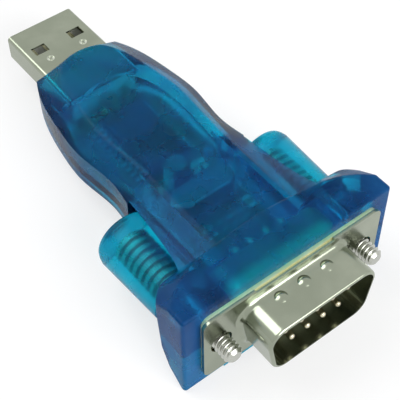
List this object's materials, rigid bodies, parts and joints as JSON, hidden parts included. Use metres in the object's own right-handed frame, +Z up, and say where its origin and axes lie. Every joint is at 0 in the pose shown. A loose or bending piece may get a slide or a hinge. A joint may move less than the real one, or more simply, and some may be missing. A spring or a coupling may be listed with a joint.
{
  "type": "usb to serial adapter",
  "caption": "Translucent blue adapter between a USB-A plug and a nine-pin D-shaped serial plug with two thumbscrews, circuit board and parts inside.",
  "frame": {"origin": "centre of the front face of the serial plug's metal flange", "axes": "+Y from the serial plug towards the tip of the USB plug, +Z up through the housing's roof on the side of the row of five pins, +X to the right for someone who looks at the serial pins"},
  "size_m": [0.036, 0.0691, 0.017],
  "materials": {
    "blue_plastic": "satin translucent navy moulding",
    "nickel": "bright nickel plate on sheet steel",
    "chromate": "yellow chromate on sheet steel",
    "screw_steel": "nickel-plated steel",
    "can_steel": "drawn steel can",
    "gold_contact": "thin gold flash",
    "tinned_lead": "tinned",
    "white_plastic": "matt moulding",
    "dark_plastic": "matt glass-filled moulding",
    "board_green": "solder mask over laminate",
    "chip_black": "moulding compound",
    "capacitor_sleeve": "shrunk sleeve",
    "chip_ceramic": "fired ceramic"
  },
  "bodies": {
    "adapter": {"top_cover": "blue_plastic", "bottom_cover": "blue_plastic", "usb_shell": "nickel", "usb_insulator": "white_plastic", "usb_contact_1": "gold_contact", "usb_contact_2": "gold_contact", "usb_contact_3": "gold_contact", "usb_contact_4": "gold_contact", "de9_front_shell": "nickel", "de9_rear_shell": "chromate", "de9_insulator": "dark_plastic", "de9_pin_1": "gold_contact", "de9_pin_2": "gold_contact", "de9_pin_3": "gold_contact", "de9_pin_4": "gold_contact", "de9_pin_5": "gold_contact", "de9_pin_6": "gold_contact", "de9_pin_7": "gold_contact", "de9_pin_8": "gold_contact", "de9_pin_9": "gold_contact", "circuit_board": "board_green", "bridge_chip": "chip_black", "bridge_chip_leads": "tinned_lead", "level_chip": "chip_black", "level_chip_leads": "tinned_lead", "crystal_can": "can_steel", "reservoir_capacitor": "capacitor_sleeve", "chip_capacitors": "chip_ceramic", "chip_resistors": "chip_black"},
    "left_thumbscrew": {"left_screw": "screw_steel", "left_knob": "blue_plastic"},
    "right_thumbscrew": {"right_screw": "screw_steel", "right_knob": "blue_plastic"}
  },
  "joints": [
    {"name": "left_thumbscrew_turn", "type": "hinge", "parent": "adapter", "child": "left_thumbscrew", "pos_m": [-0.0125, 0.01, 0], "axis": [0, 1, 0], "continuous": true},
    {"name": "right_thumbscrew_turn", "type": "hinge", "parent": "adapter", "child": "right_thumbscrew", "pos_m": [0.0125, 0.01, 0], "axis": [0, 1, 0], "continuous": true}
  ]
}
